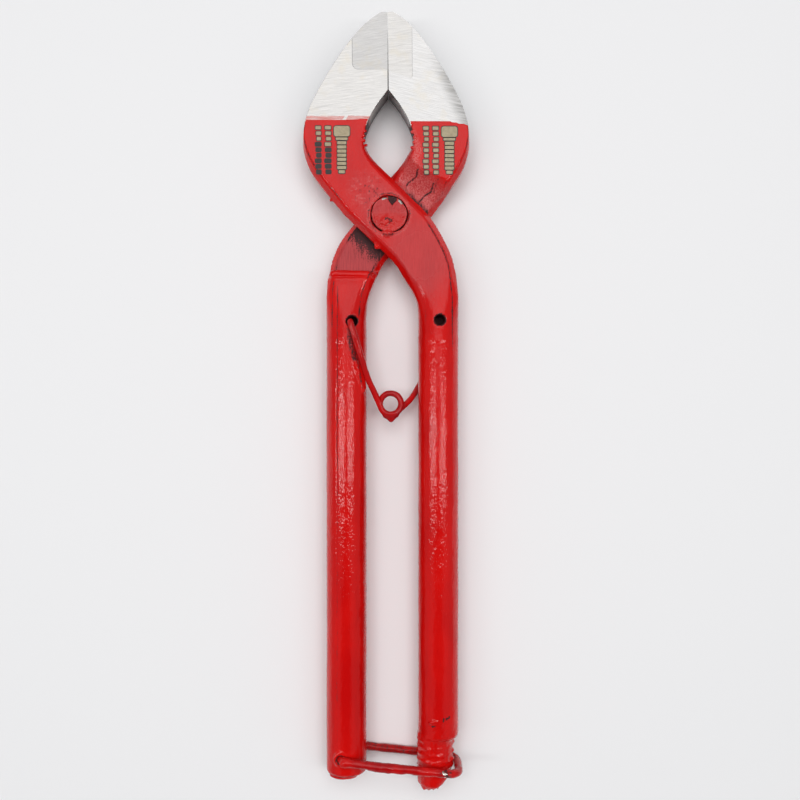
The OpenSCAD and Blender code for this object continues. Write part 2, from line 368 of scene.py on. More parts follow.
class Shader:
    """A Principled material and short calls for the nodes that feed it."""

    def __init__(self, name):
        self.material = bpy.data.materials.new(name)
        self.material.use_nodes = True
        self.tree = self.material.node_tree
        self.bsdf = self.tree.nodes["Principled BSDF"]
        self.place = self.node("ShaderNodeTexCoord").outputs["Object"]

    def node(self, kind, inputs=None, **settings):
        """A new node with its settings and inputs."""
        made = self.tree.nodes.new(kind)
        for key, value in settings.items():
            setattr(made, key, value)
        for key, value in (inputs or {}).items():
            self.feed(made.inputs[key], value)
        return made

    def feed(self, socket, value):
        """Links a socket to another one, or gives it a constant."""
        if isinstance(value, bpy.types.NodeSocket):
            self.tree.links.new(value, socket)
        else:
            socket.default_value = value

    def set(self, **values):
        """Feeds the Principled shader's inputs."""
        for key, value in values.items():
            self.feed(self.bsdf.inputs[key.replace("_", " ")], value)

    def mask(self, name):
        """A mask that paint_mask stored."""
        return self.node("ShaderNodeAttribute", attribute_name=name).outputs["Fac"]

    def axis(self, name):
        """One coordinate of the point, in metres."""
        split = self.node("ShaderNodeSeparateXYZ", {"Vector": self.place})
        return split.outputs[name]

    def math(self, operation, a, b=0.5):
        """One step of arithmetic."""
        return self.node("ShaderNodeMath", {0: a, 1: b}, operation=operation).outputs[0]

    def ramp(self, value, low, high, to_low=0.0, to_high=1.0):
        """A smooth step from low to high."""
        made = self.node(
            "ShaderNodeMapRange",
            {"Value": value, "From Min": low, "From Max": high, "To Min": to_low, "To Max": to_high},
            interpolation_type="SMOOTHSTEP",
        )
        return made.outputs["Result"]

    def mix(self, factor, a, b):
        """A colour between two colours."""
        made = self.node("ShaderNodeMix", data_type="RGBA")
        self.feed(made.inputs[0], factor)
        self.feed(made.inputs[6], a)
        self.feed(made.inputs[7], b)
        return made.outputs[2]

    def blend(self, factor, a, b):
        """A number between two numbers."""
        made = self.node("ShaderNodeMix", data_type="FLOAT")
        self.feed(made.inputs[0], factor)
        self.feed(made.inputs[2], a)
        self.feed(made.inputs[3], b)
        return made.outputs[0]

    def noise(self, size, detail=3.0, roughness=0.55, angle=0.0):
        """Noise with cells size (x, y, z) millimetres across, turned about Z by angle degrees."""
        if not isinstance(size, tuple):
            size = (size, size, size)
        turn = self.node(
            "ShaderNodeMapping", {"Vector": self.place, "Rotation": (0, 0, math.radians(-angle))}
        )
        scale = self.node(
            "ShaderNodeMapping",
            {"Vector": turn.outputs[0], "Scale": tuple(1 / (s * MM) for s in size)},
        )
        made = self.node(
            "ShaderNodeTexNoise",
            {"Vector": scale.outputs[0], "Scale": 1.0, "Detail": detail, "Roughness": roughness},
        )
        return made.outputs["Fac"]

    def bump(self, height, distance, strength=1.0, under=None):
        """A bumped normal, distance millimetres high, over another normal."""
        inputs = {"Height": height, "Distance": distance * MM, "Strength": strength}
        if under is not None:
            inputs["Normal"] = under
        return self.node("ShaderNodeBump", inputs).outputs[0]

    def on(self, obj):
        """Makes this the object's only material."""
        obj.data.materials.clear()
        obj.data.materials.append(self.material)


RED = (0.62, 0.005, 0.004, 1)
DEEP_RED = (0.54, 0.003, 0.003, 1)
DUSTY_SHEEN_RED = (0.44, 0.050, 0.055, 1)
SCUFFED_RED = (0.30, 0.03, 0.035, 1)
PALE_RED = (0.66, 0.16, 0.15, 1)
THIN_RED = (0.62, 0.14, 0.12, 1)
DIRT_AND_SHADE = (0.012, 0.008, 0.009, 1)
CHIP = (0.48, 0.46, 0.42, 1)
STEEL = (0.68, 0.665, 0.64, 1)
DARK_REFLECTION_STEEL = (0.30, 0.295, 0.285, 1)
BLACK_SCALE = (0.035, 0.035, 0.038, 1)


def dip_paint(name, red=RED, deep=DEEP_RED, gloss=0.07):
    """Thick red dip paint: runs, orange peel, scuffs, dirt and painted shade, dull patches and painted
    sheen, and chips, each from its own mask.
    """
    s = Shader(name)
    tone = s.ramp(s.noise((9, 22, 9), 3), 0.35, 0.7)
    colour = s.mix(tone, red, deep)
    speck = s.noise(0.55, 4, 0.7)
    # The dull mask holds real dull, scuffed paint and painted sheen: a pale dusty colour where the
    # gloss shows a veil of light
    dull_and_sheen = s.mask("dull_and_sheen")
    streak = s.noise((0.35, 6, 1.5), 3, 0.6)
    dusty_sheen = s.mix(s.ramp(streak, 0.35, 0.7), DUSTY_SHEEN_RED, SCUFFED_RED)
    colour = s.mix(s.math("MULTIPLY", dull_and_sheen, 0.85), colour, dusty_sheen)
    rub = s.math("MULTIPLY", s.mask("rub"), s.ramp(speck, 0.4, 0.62))
    colour = s.mix(rub, colour, PALE_RED)
    grit = s.math("ADD", s.math("MULTIPLY", speck, 2.0), s.math("MULTIPLY", streak, 1.2))
    # The dirt mask holds real dirt and painted shade in holes, gaps, creases and under parts; both turn
    # the paint nearly black
    patch = s.math("ADD", s.mask("dirt_and_shade"), s.math("SUBTRACT", grit, 1.6))
    dirt_and_shade = s.math("MULTIPLY", s.ramp(patch, 0.25, 0.7), s.ramp(s.mask("dirt_and_shade"), 0.02, 0.2))
    colour = s.mix(s.math("MULTIPLY", dirt_and_shade, 0.93), colour, DIRT_AND_SHADE)
    bare = s.ramp(s.mask("bare"), 0.45, 0.55)
    colour = s.mix(bare, colour, CHIP)
    rough = s.blend(dull_and_sheen, s.blend(s.noise((4, 9, 4), 2), gloss, gloss + 0.08), 0.42)
    rough = s.blend(dirt_and_shade, rough, 0.62)
    peel = s.bump(s.noise((1.1, 2.4, 1.1), 2), 0.10, 0.6)
    grains = s.bump(s.noise((0.8, 1.0, 0.8), 1), 0.10, 0.8, peel)
    fine = s.bump(speck, 0.025, 0.5, grains)
    brushed = s.bump(streak, 0.08, s.math("MULTIPLY", dull_and_sheen, 0.5), fine)
    s.set(Base_Color=colour, Roughness=rough, Metallic=bare, Normal=brushed)
    s.set(Specular_IOR_Level=0.36)
    return s


# ---------------------------------------------------------------- levers

VOXEL = 0.5

# The half lap: flat within LAP_R of the rivet, then rising in the two directions of a jaw
LAP_GAP = 0.1
LAP_TURNS = (44.3, 65)
LAP_R = 12.6
LAP_RISE = 12 / 14
LAP_EASE = 2.2
SHOULDER_Y = -21.5
SHOULDER_RISE = 1.7

# The flats' rims: their rounding, and the width and slope of the sides
JAW_EDGE_R = 0.3
EDGE_R = 0.6
SIDE_SLOPE = 0.8
SIDE_BAND = 3.0

# The right handle's end: a thinner neck with rings round it and a slanted corner
BAR_END_R = 1.6
NECK_X = 18.2
NECK_R = 7
NECK_TOP_Y = -205.5
NECK_END_R = 2.6
NECK_SHOULDER_Y = -207
RIGHT_TRIM = 1.9
RING_TOP_Y = -207.6
RING_MID_Y = -213
RING_PITCH = 2.6
RING_RISE = 0.3
SLANT_AT = (25.2, -220.5)

# The left handle: its end, its parting line and the recess for the rivet's rear head
LEFT_TRIM = 2.0
SEAM_X = -20.4
REAR_RECESS_R = 7.0
REAR_RECESS_Z = 1.8

# Blobs of paint, as centre, radii and fillet
RIVET_TAB = [
    ((-0.6, -7.5, 12.3), (1.7, 1.2, 1.2), 0.4),
    ((-2.1, -7.0, 12.2), (0.8, 0.7, 0.8), 0.3),
    ((0.8, -7.3, 12.2), (0.7, 0.6, 0.7), 0.3),
]
END_DRIPS = [
    ((13.9, -226.3, 8), (1.3, 1.3, 2.4), 0.7),
    ((17.4, -226.9, 7), (1.0, 0.9, 2.4), 0.6),
    ((15.6, -226.7, 9.2), (0.8, 0.7, 1.4), 0.4),
    ((19.0, -226.2, 9.0), (0.7, 0.9, 1.2), 0.4),
]
FRONT_NUBS = [(-9.5, 32.8, 11.4), (-10.1, 30.9, 11.7), (-9.9, 29.0, 11.6), (-9.1, 27.2, 11.5)]
REAR_NUBS = [(8.9, 32.4, 11.4), (9.9, 30.2, 11.8), (9.7, 28.3, 11.6), (8.9, 26.3, 11.7)]
NUB_SIZE = (0.75, 0.65, 0.8)

# Marks in plan, each a chain of points
WRINKLE = [(-9.5, 11.5), (-6.2, 9.6), (-3.6, 6.4)]
SCARS = [
    [(16.9, -200.9), (17.8, -200.7)],
    [(21.3, -198.6), (21.4, -197.9)],
    [(22.4, -198.2), (22.5, -197.6)],
    [(23.4, -197.8), (23.6, -197.2)],
]
LAP_SHADOW = [(-16, -2.5), (-9.5, -7.4), (-3.5, -13)]
HOOK_SMEAR = [(-15.3, -45.5), (-14.9, -51), (-13.3, -57)]
END_LENS = [(-22.6, -220.6), (-19, -221.2), (-13.6, -220.4)]
PAINT_WEB = [(-13.0, -57), (-11.4, -62), (-10.6, -69)]
JAW_CRACKS = [
    ([(11.2, 17.9), (10.7, 15.4), (7.6, 13.5), (6.7, 12.3), (7.0, 10.4)], 0.75),
    ([(17.5, 12.6), (16.6, 9.8), (13.8, 8.3), (11.7, 5.5)], 0.8),
    ([(19.1, 14.1), (17.5, 9.2)], 0.45),
]
CROSSING = [(1, 13.5), (9, 6.5), (17, -1.5)]
THROAT_BAND = [(8.5, 33), (11.5, 25), (8.5, 17)]


def lap_height(x, y):
    """How high a lever stands in its half lap, with the jaw or the handle's shoulder above it."""
    rise = 99.0
    for turn in LAP_TURNS:
        u = x * math.cos(math.radians(turn)) + y * math.sin(math.radians(turn))
        rise = np.minimum(rise, LAP_RISE * -join(LAP_R + LAP_EASE - u, 0 * u, 4))
    shoulder = np.maximum(SHOULDER_Y - y, 0) * SHOULDER_RISE
    return MID_Z - LAP_GAP / 2 + np.maximum(rise, shoulder)


def bar(x, y, z, axis_x, r, top, end, edge):
    """A round bar along Y whose lower end has a rounded rim."""
    across = np.hypot(x - axis_x, z - MID_Z) - r
    return np.maximum(rounded(across, end - y, edge), y - top)


def lever_plate(volume, lever):
    """The flats with their sloping sides, the jaw, and the way the flats run out on the round bar."""
    plan = outline_distance(volume, lever_outline(lever))
    x, y, z = volume.x, volume.y, volume.z
    round_bar = ramp(y, -22, -45)
    edge = JAW_EDGE_R + (EDGE_R - JAW_EDGE_R) * ramp(y, 36, 20)
    edge = edge + (BAR_R - edge) * round_bar
    half = MID_Z + PAINT + (BAR_R - MID_Z - PAINT) * ramp(y, -27, -44)
    lapped = lap_height(x * -lever["side"], y)
    height = half - MID_Z + np.minimum(lapped, PLATE_TOP)
    above, below = z - MID_Z - half, MID_Z - half - z
    if lever is FRONT:
        below = PLATE_TOP - height - z
    else:
        above = z - height
    slope = SIDE_SLOPE * ramp(y, 37, 14) * (1 - round_bar)
    band = np.maximum(SIDE_BAND + above, 0) + np.maximum(SIDE_BAND + below, 0)
    side = (plan + slope * band) / np.hypot(1, slope)
    plate = rounded(side, np.maximum(above, below), edge)
    return np.maximum(plate, BAR_START_Y - y)


def lumps(p):
    """Runs and orange peel in the dip paint, growing towards the handles."""
    fade = 0.25 + 0.75 * ramp(p[:, 1], 30, -60)
    runs = 0.07 * noise(p, (2.4, 17, 2.4)) + 0.045 * noise(p, (1.3, 3.0, 1.3), 7.3)
    return fade * (runs + 0.026 * noise(p, (0.9, 1.2, 0.9), 3.1))


def paint_line(lever, x):
    """Where the paint of a jaw ends."""
    if lever is FRONT:
        return 37.1 + 0.018 * (x + 34)
    return 36.9 - 0.012 * (x - 8) - 1.2 * ramp(x, 22, 31)


def rim_crease(p, lever):
    """Distance in plan from the line where a lever's face meets its sloping side."""
    outline = lever_outline(lever)
    inset = route_distance(p, np.vstack([outline, outline[:1]]))
    return np.abs(inset - SIDE_BAND * SIDE_SLOPE * ramp(p[:, 1], 37, 14) - 0.25)


def seam_distance(p):
    """Distance in plan from the wavy parting line down the front of the left handle."""
    return np.abs(p[:, 0] - SEAM_X + 0.15 * noise(p, 14))


def hole_shade(p, hole, low, high):
    """Painted shade within low of a hole's centre, gone at high."""
    return ramp(np.hypot(p[:, 0] - hole[0], p[:, 1] - hole[1]), high, low)


def strongest(*masks):
    """The highest of several masks at each point."""
    return np.maximum.reduce(masks)


def front_lever():
    """The painted left jaw, front lap and right handle, with its ringed and slanted end."""
    v = Volume((-36, -230, -1), (30, 39, 15.5), VOXEL)
    x, y, z = v.x, v.y, v.z
    plate = lever_plate(v, FRONT)
    handle = bar(x, y, z, RIGHT_BAR_X, BAR_R, BAR_START_Y + BAR_OVERLAP, NECK_SHOULDER_Y, BAR_END_R)
    wave = np.maximum(np.cos((y - RING_TOP_Y) * 2 * math.pi / RING_PITCH), 0) ** 3
    ridge = RING_RISE * wave * ramp(np.abs(y - RING_MID_Y), 7, 5.5)
    neck = bar(x, y, z, NECK_X, NECK_R + ridge, NECK_TOP_Y, RIGHT_END + RIGHT_TRIM, NECK_END_R)
    slant = ((x - SLANT_AT[0]) - (y - SLANT_AT[1])) / math.sqrt(2)
    neck = -join(-neck, -slant, 2.5)
    v.d = join(join(plate, handle, 0.3), neck, 1.0).astype(np.float32)
    v.hole(0, 0, SHANK_HOLE_R, 0.4)
    # The ragged gap round the rivet's head
    around = np.arctan2(y, x)
    gap_r = 7.3 + 0.16 * np.cos(3 * around + 1) + 0.12 * np.cos(7 * around)
    recess = np.maximum(np.hypot(x, y) - gap_r, HEAD_SEAT_Z + 0.2 - z)
    v.d = cut(v.d, recess, 0.5).astype(np.float32)
    # The spring's hole, clogged with paint half way down
    v.hole(*RIGHT_HOLE, 2.0, 0.7)
    v.blob((*RIGHT_HOLE, 4.6), (2.6, 2.6, 0.7), 0.3)
    v.bead((-5.2, -12.2, 8.6), (-5.0, -12.6, 9.4), 0.85, 0.9)
    v.bead((-22.9, 6.4, 7.5), (-23.2, 6.2, 8.4), 0.6, 0.6)
    for centre, radii, soft in RIVET_TAB + END_DRIPS:
        v.blob(centre, radii, soft)
    v.bead((16.0, -199.3, 13.6), (18.6, -199.0, 13.7), 0.5, 0.7)
    # Drips on the outer side of the neck
    for at in range(6):
        centre = (25.5 - 0.1 * at, -203.5 - 2.9 * at, 7 + 1.5 * math.sin(2.1 * at))
        v.blob(centre, (0.7, 0.6, 1.6), 0.7)
    for nub in FRONT_NUBS:
        v.blob(nub, NUB_SIZE, 0.4)
    line = paint_line(FRONT, x)

    def height(p):
        ragged = 0.14 * noise(p, (1.3, 1.1, 1.1), 1.7) * ramp(p[:, 1], -196, -208)
        sag = 0.10 * noise(p, (1.0, 1.0, 1.0), 5) * ramp(p[:, 1], -190, -210)
        crumpled = ramp(np.hypot(p[:, 0] + 8, p[:, 1] - 9), 11, 4)
        return lumps(p) + ragged + sag + 0.12 * crumpled * noise(p, 2.0, 9)

    v.swell(height)
    v.d = np.maximum(v.d, y - line).astype(np.float32)
    obj = v.mesh("front_lever_paint")
    p = points_of(obj)
    px, py, pz = p.T
    top = ramp(pz, 11, 11.8)
    from_rivet = np.hypot(px, py)
    right_rim = ramp(px, 13, 16) * ramp(py, -62, -40) * ramp(py, 0, -4)
    left_rim = ramp(px, -14, -20) * ramp(noise(p, 3.5, 6), -0.5, 0.2)
    # Painted shade: a dark line along the crease where the face meets the sloping side
    rim = 0.8 * ramp(rim_crease(p, FRONT), 0.38, 0.1) * np.maximum(right_rim, 0.8 * left_rim)
    ring = np.abs(from_rivet - 8.2 - 0.3 * noise(p, 4))
    worn = ramp(np.hypot(px + 8.5, py - 9.5), 10, 4) * top * ramp(from_rivet, 8.5, 9.5)
    throat = ramp(py, 29, 33.1) * ramp(np.abs(px + 8), 3.5, 2.2)
    dirt_and_shade = strongest(
        rim * ramp(pz, 10, 11.4),
        0.62 * ramp(ring, 0.55, 0.1) * top * ramp(noise(p, 5, 2), -0.5, 0.3),
        # Painted shade in the gap round the rivet's head
        ramp(from_rivet, 7.5, 7.1) * ramp(pz, 12.2, 11.9) * (pz > 9),
        0.55 * ramp(route_distance(p, WRINKLE), 0.4, 0.1) * top,
        1.5 * hole_shade(p, RIGHT_HOLE, 2.2, 2.7),
        *[1.2 * ramp(route_distance(p, scar), 0.5, 0.15) * ramp(pz, 10, 12) for scar in SCARS],
        0.8 * (throat * ramp(pz, 12.0, 11.2)),
        0.5 * (worn * ramp(noise(p, (0.7, 1.0, 0.8), 3), 0.46, 0.66)),
    )
    paint_mask(obj, "dirt_and_shade", dirt_and_shade)
    # Painted sheen: a pale dusty patch on the flats round the rivet and towards the handle stands for
    # the veil of light on the gloss; the worn patch is real wear
    dull_and_sheen = 0.55 * top * ramp(np.hypot(px - 12, py + 16), 20, 8)
    paint_mask(obj, "dull_and_sheen", np.maximum(dull_and_sheen, 0.3 * ramp(from_rivet, 15, 8) * top + 0.3 * worn))
    scratches = worn * ramp(noise(p, (1.6, 0.7, 1.0), 12), 0.30, 0.5)
    paint_mask(obj, "rub", np.maximum(0.5 * ramp(ring, 1.2, 0.2) * top, 0.55 * scratches))
    paint_mask(obj, "bare", np.zeros(len(p)))
    return obj


def rear_lever():
    """The painted right jaw, rear lap and left handle."""
    v = Volume((-27, -225, -1), (34, 39, 15.5), VOXEL)
    x, y, z = v.x, v.y, v.z
    plate = lever_plate(v, REAR)
    handle = bar(x, y, z, LEFT_BAR_X, BAR_R, BAR_START_Y + BAR_OVERLAP, LEFT_END + LEFT_TRIM, BAR_END_R)
    v.d = join(plate, handle, 0.3).astype(np.float32)
    v.hole(0, 0, SHANK_HOLE_R, 0.4)
    recess = np.maximum(np.hypot(x, y) - REAR_RECESS_R, z - REAR_RECESS_Z)
    v.d = cut(v.d, recess, 0.4).astype(np.float32)
    # The spring's hole, clogged with paint half way down, and the bail's
    v.hole(*LEFT_HOLE, 2.05, 0.7)
    v.blob((*LEFT_HOLE, 3.0), (2.6, 2.6, 0.7), 0.3)
    v.hole(*BAIL_PIN, 1.8, 0.5)
    # The rounded lip across the handle's top
    v.bead((-21.9, -23.3, 9.9), (-8.8, -23.7, 9.9), 1.75, 0.5)
    # A web of paint beside the spring's leg
    v.bead((-13.2, -57.5, 13.2), (-10.2, -69.5, 10.6), 0.45, 1.6)
    v.bead((-10.6, -60, 11.5), (-9.6, -68, 9.5), 0.5, 1.4)
    # A thick drop at the handle's end, and a collar of paint round the bail
    v.blob((-18.0, -221.5, 9.0), (5.4, 1.5, 3.2), 0.25)
    for turn in range(0, 360, 30):
        a = math.radians(turn)
        v.blob((-19 + 2.3 * math.cos(a), -213.6 + 2.2 * math.sin(a), 13.5), (0.8, 0.8, 0.55), 0.6)
    for nub in REAR_NUBS:
        v.blob(nub, NUB_SIZE, 0.4)
    line = paint_line(REAR, x)

    def height(p):
        groove = ramp(seam_distance(p), 0.45, 0.1)
        front = ramp(p[:, 2], 9, 12) * ramp(p[:, 1], -26, -30) * ramp(p[:, 1], -211, -208)
        lap_face = ramp(p[:, 2], 7.4, 6.4) * ramp(p[:, 1], -24, -21)
        return lumps(p) * (1 - 0.8 * lap_face) - 0.13 * groove * front

    v.swell(height)
    v.d = np.maximum(v.d, y - line).astype(np.float32)
    obj = v.mesh("rear_lever_paint")
    p = points_of(obj)
    px, py, pz = p.T
    front = ramp(pz, 9, 12)
    seam = 0.6 * ramp(seam_distance(p), 0.42, 0.12) * front
    seam = seam * ramp(py, -26, -30) * ramp(py, -211, -205)
    rim = ramp(rim_crease(p, REAR), 0.4, 0.1) * ramp(noise(p, 3.5, 6), -0.6, 0.1)
    lap_face = ramp(pz, 7.2, 6.2) * ramp(pz, 4.9, 5.7) * ramp(py, -23.5, -22)
    lap_reach = (route_distance(p, LAP_SHADOW) + 1.2 * noise(p, (1.2, 4, 2))) / 8.5
    jaw = ramp(px, 2, 8) * ramp(py, -4, 0)
    wander = 0.15 * noise(p, 1.0)
    cracks = [
        weight * ramp(route_distance(p, route) + wander, 0.55, 0.1) * jaw
        for route, weight in JAW_CRACKS
    ]
    crossing = route_distance(p, CROSSING)
    throat = ramp(py, 28.5, 32.1) * ramp(np.abs(px - 8), 3.5, 2.2) * ramp(pz, 12.0, 11.2)
    dirt_and_shade = strongest(
        seam * (0.45 + 0.55 * ramp(py, -130, -70)),
        # Painted shade: dark lines along the crease where the face meets the sloping side, low beside
        # the front lever and on the jaw's outer rim
        0.75 * (rim * ramp(py, -5, -9) * ramp(py, -50, -38) * ramp(pz, 4.6, 5.6)),
        0.55 * rim * ramp(px, 18, 22) * ramp(pz, 9, 11),
        np.clip(1.05 - lap_reach, 0, 1) * lap_face,
        1.5 * hole_shade(p, LEFT_HOLE, 2.2, 2.7),
        0.75 * hole_shade(p, BAIL_PIN, 1.8, 2.2),
        0.62 * ramp(route_distance(p, HOOK_SMEAR), 1.9, 0.5) * front,
        # Painted shade along the crease where the drop of paint meets the handle's end
        0.55 * ramp(route_distance(p, END_LENS), 0.5, 0.1) * ramp(pz, 9, 11),
        0.5 * ramp(route_distance(p, PAINT_WEB), 0.6, 0.15) * front,
        *cracks,
        0.7 * ramp(crossing + noise(p, 2.2), 3.4, 0.4) * jaw * (pz > 5),
        0.8 * throat,
    )
    paint_mask(obj, "dirt_and_shade", dirt_and_shade)
    mottled = jaw * ramp(crossing, 15, 7) * ramp(pz, 5, 6)
    paint_mask(obj, "dull_and_sheen", np.maximum(lap_face * ramp(px, 0, -4), 0.8 * mottled))
    band = 0.75 * ramp(route_distance(p, THROAT_BAND), 2.4, 0.5) * jaw * (pz > 11)
    paint_mask(obj, "rub", np.maximum(band, 0.7 * mottled))
    paint_mask(obj, "bare", np.zeros(len(p)))
    return obj


# ---------------------------------------------------------------- bare jaws


# Where the bare steel starts, under the edge of the paint
JAW_FOOT_Y = 35

# How dark the outer wall of each jaw is, by the lever's side
OUTER_SCALE = {1: 1.0, -1: 0.6}


def clipped(outline, y_low):
    """The part of an outline above a level."""
    kept = []
    for a, b in zip(outline, np.roll(outline, -1, 0)):
        if a[1] >= y_low:
            kept.append(a)
        if (a[1] >= y_low) != (b[1] >= y_low):
            kept.append(a + (b - a) * (y_low - a[1]) / (b[1] - a[1]))
    return np.array(kept)


def prism(name, outline, low_z, high_z):
    """A closed solid of one outline, in metres."""
    made = bmesh.new()
    low = [made.verts.new((x * MM, y * MM, low_z * MM)) for x, y in outline]
    high = [made.verts.new((x * MM, y * MM, high_z * MM)) for x, y in outline]
    made.faces.new(low)
    made.faces.new(high)
    for i in range(len(low)):
        k = (i + 1) % len(low)
        made.faces.new((low[i], low[k], high[k], high[i]))
    bmesh.ops.recalc_face_normals(made, faces=made.faces)
    return built(name, made)


def settle(obj):
    """Applies an object's modifiers to its mesh."""
    evaluated = obj.evaluated_get(bpy.context.evaluated_depsgraph_get())
    data = bpy.data.meshes.new_from_object(evaluated)
    obj.modifiers.clear()
    obj.data = data


def blade_pocket(lever, width, drop, corner_r):
    """The outline of a brazed blade's pocket, in plan."""
    low = JAW_REACH - BLADE_L - BRAZE_GAP
    centre = np.array((-width - BRAZE_GAP + corner_r, low - drop + corner_r))
    arc = [
        centre + corner_r * np.array((math.cos(math.radians(a)), math.sin(math.radians(a))))
        for a in range(270, 179, -15)
    ]
    shape = [(1, JAW_REACH + 2), (1, low)] + arc + [(-width - BRAZE_GAP, JAW_REACH + 2)]
    return turned(shape, lever["turn"]) * (lever["side"], 1)


def bare_jaw(name, lever, width, drop, corner_r):
    """The ground end of a jaw with its blade pocket, its edges just broken."""
    outline = clipped(lever_outline(lever), JAW_FOOT_Y)
    obj = prism(name, outline, 0, PLATE_TOP)
    tool = prism("pocket", blade_pocket(lever, width, drop, corner_r), -3, PLATE_TOP + 3)
    carve = obj.modifiers.new("pocket", "BOOLEAN")
    carve.operation = "DIFFERENCE"
    carve.solver = "EXACT"
    carve.object = tool
    settle(obj)
    bpy.data.objects.remove(tool)
    bevel = obj.modifiers.new("edges", "BEVEL")
    bevel.width = 0.36 * MM
    bevel.segments = 2
    bevel.angle_limit = math.radians(35)
    bevel.harden_normals = True
    settle(obj)
    return obj


def shade(colour, by):
    """A colour made darker or lighter."""
    return tuple(min(1, c * by) for c in colour[:3]) + (1,)


def brushed_steel(name, base, grain_angle, film=False):
    """Linished steel: fine scratches across the jaw, faint stains, black scale in the throat, and a
    painted dark reflection towards the right jaw's lower outer corner.
    """
    s = Shader(name)
    grain = s.noise((8, 0.27, 1.5), 3, 0.7, grain_angle)
    coarse = s.noise((12, 0.8, 3), 2, 0.5, grain_angle + 6)
    cloud = s.noise(5, 3)
    colour = s.mix(s.ramp(grain, 0.3, 0.7), shade(base, 0.85), shade(base, 1.08))
    colour = s.mix(s.ramp(coarse, 0.56, 0.8), colour, shade(base, 0.84))
    warm = (base[0] * 0.98, base[1] * 0.93, base[2] * 0.83, 1)
    colour = s.mix(s.math("MULTIPLY", s.ramp(cloud, 0.5, 0.75), 0.55), colour, warm)
    metal = 1.0
    rough = s.blend(grain, 0.20, 0.30)
    if film:
        # A film of thin paint above the paint's edge, in millimetres, with one scratch through it
        y = s.math("MULTIPLY", s.axis("Y"), 1000.0)
        x = s.math("MULTIPLY", s.axis("X"), 1000.0)
        ragged = s.math("ADD", y, s.math("MULTIPLY", s.math("SUBTRACT", s.noise(2.2, 4), 0.5), 1.1))
        band = s.ramp(ragged, 38.9, 38.4)
        streaks = s.ramp(s.noise((6, 0.35, 2), 4, 0.7, -3), 0.36, 0.6, 0.35, 1.0)
        lean = s.math("ADD", x, s.math("MULTIPLY", s.math("SUBTRACT", y, 38.0), -0.6))
        scratch = s.ramp(s.math("ABSOLUTE", s.math("ADD", lean, 17.2)), 0.5, 0.8)
        film_mask = s.math("MULTIPLY", s.math("MULTIPLY", band, streaks), scratch)
        colour = s.mix(s.math("MULTIPLY", film_mask, 0.85), colour, THIN_RED)
        metal = s.blend(film_mask, 1.0, 0.0)
    # Painted reflection: the face darkens towards the right jaw's lower outer corner, where the
    # polished steel reflects a darker part of the room
    dark_reflection_side = s.math("ADD", s.axis("X"), s.math("MULTIPLY", s.axis("Y"), 0.45))
    worn = s.math("MULTIPLY", s.ramp(dark_reflection_side, 0.0415, 0.0475), s.ramp(s.axis("Y"), 0.066, 0.052))
    colour = s.mix(s.math("MULTIPLY", worn, s.ramp(coarse, 0.25, 0.6, 0.35, 0.9)), colour, DARK_REFLECTION_STEEL)
    wall = s.mask("scale")
    colour = s.mix(wall, colour, BLACK_SCALE)
    metal = s.blend(wall, metal, 0.0)
    rough = s.blend(wall, rough, 0.55)
    scratch_bump = s.bump(grain, 0.006, 0.5)
    s.set(Base_Color=colour, Metallic=metal, Roughness=rough, Normal=scratch_bump)
    return s


def dress_jaw(obj, lever, material):
    """Marks the throat's walls and the outer walls, which keep their black scale."""
    px, py, pz = points_of(obj).T
    across = np.abs(px)
    throat = (py < 49.6) & (across < 10.6) & (pz < PLATE_TOP - 0.1)
    outer = (across > 8) & (pz < PLATE_TOP - 0.04)
    paint_mask(obj, "scale", np.where(throat, 1.0, np.where(outer, OUTER_SCALE[lever["side"]], 0.0)))
    material.on(obj)


# ---------------------------------------------------------------- rivet


